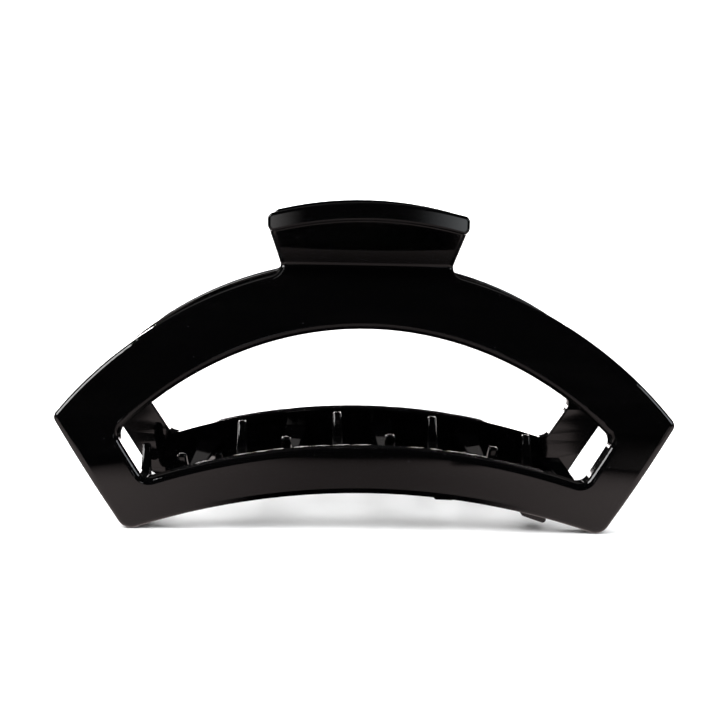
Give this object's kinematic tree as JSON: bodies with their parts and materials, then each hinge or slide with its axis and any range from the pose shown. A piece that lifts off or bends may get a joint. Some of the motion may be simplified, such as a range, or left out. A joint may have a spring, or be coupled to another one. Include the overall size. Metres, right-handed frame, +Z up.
{
  "type": "claw clip",
  "caption": "Glossy moulded hair clip: two hinged arched frames with thumb tabs and inward-curving teeth, closed by a torsion spring on a pin.",
  "frame": {"origin": "middle of the clip on the ground, where its four lower corners rest", "axes": "+Z up, +X along the clip and its hinge, +Y from the front half to the back half"},
  "size_m": [0.1054, 0.0446, 0.0555],
  "materials": {
    "moulding": "high gloss black",
    "pin": "drawn wire",
    "spring": "bright plated"
  },
  "bodies": {
    "back": {"back_half": "moulding", "hinge_pin": "pin", "torsion_spring": "spring"},
    "front": {"front_half": "moulding"}
  },
  "joints": [
    {"name": "jaw_hinge", "type": "hinge", "parent": "back", "child": "front", "pos_m": [0, 0, 0.0426], "axis": [-1, 0, 0], "range_deg": [0, 60], "stiffness_Nm_per_rad": 0.12, "springref_deg": -34.38, "deforming": ["torsion_spring"]}
  ]
}
